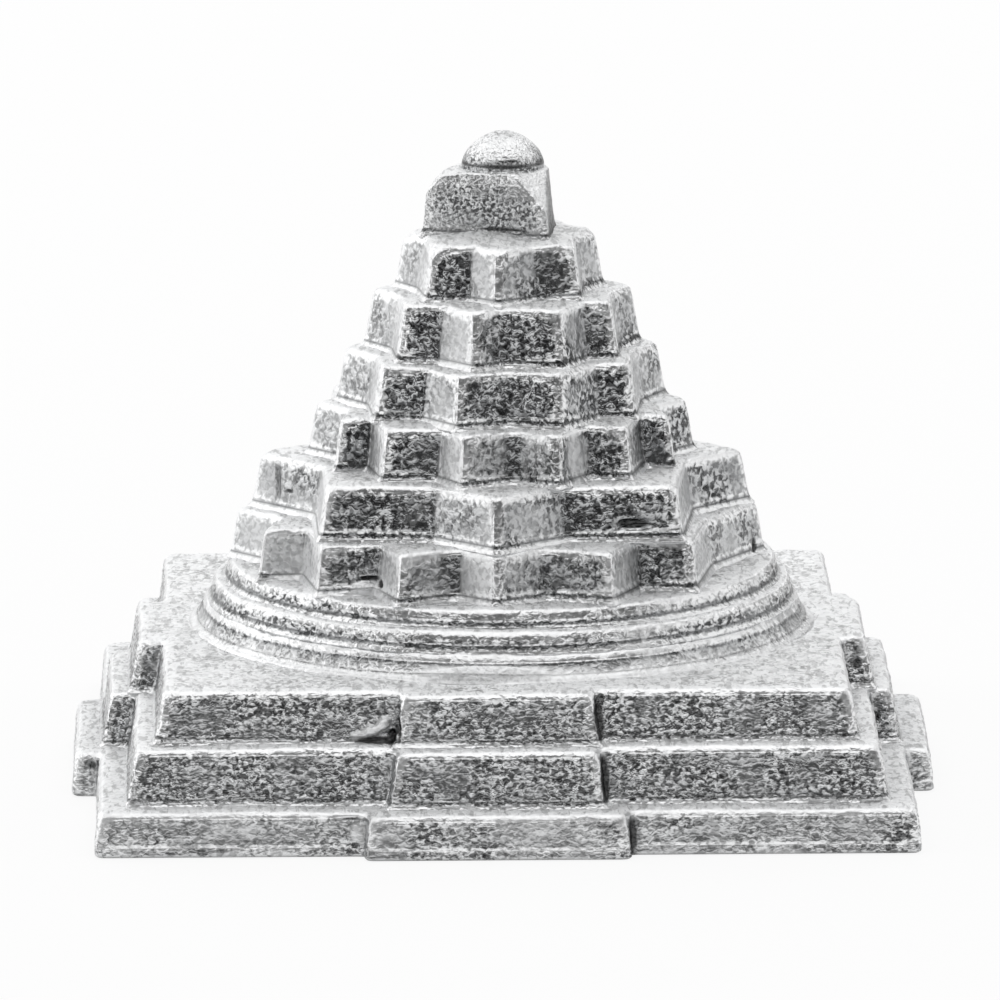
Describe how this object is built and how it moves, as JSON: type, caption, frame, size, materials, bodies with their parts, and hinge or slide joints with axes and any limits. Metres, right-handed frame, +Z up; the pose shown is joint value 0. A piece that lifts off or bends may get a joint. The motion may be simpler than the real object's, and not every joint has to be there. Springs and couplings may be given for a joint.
{
  "type": "meru shri yantra",
  "caption": "Small cast white-metal Meru Shri Yantra: square steps with gates, round girdles, star tiers, a central triangle and a domed bindu, stacked on spigots.",
  "frame": {"origin": "middle of the flat underside, on the stack's upright axis", "axes": "+Z up through the bindu, -Y towards the front, +X to the right seen from the front"},
  "size_m": [0.04, 0.04, 0.0302],
  "materials": {
    "step_metal": "satin",
    "girdle_metal": "satin",
    "tier_metal": "satin",
    "crown_metal": "satin"
  },
  "bodies": {
    "root": {"bhupura_lower_step": "step_metal", "bhupura_middle_step": "step_metal", "bhupura_upper_step": "step_metal", "lower_girdle": "girdle_metal", "middle_girdle": "girdle_metal", "upper_girdle": "girdle_metal", "sixteen_petal_tier": "tier_metal", "eight_petal_tier": "tier_metal", "fourteen_corner_tier": "tier_metal", "outer_ten_corner_tier": "tier_metal", "inner_ten_corner_tier": "tier_metal", "eight_corner_tier": "tier_metal", "central_triangle": "crown_metal", "bindu_cap": "crown_metal"}
  },
  "joints": []
}
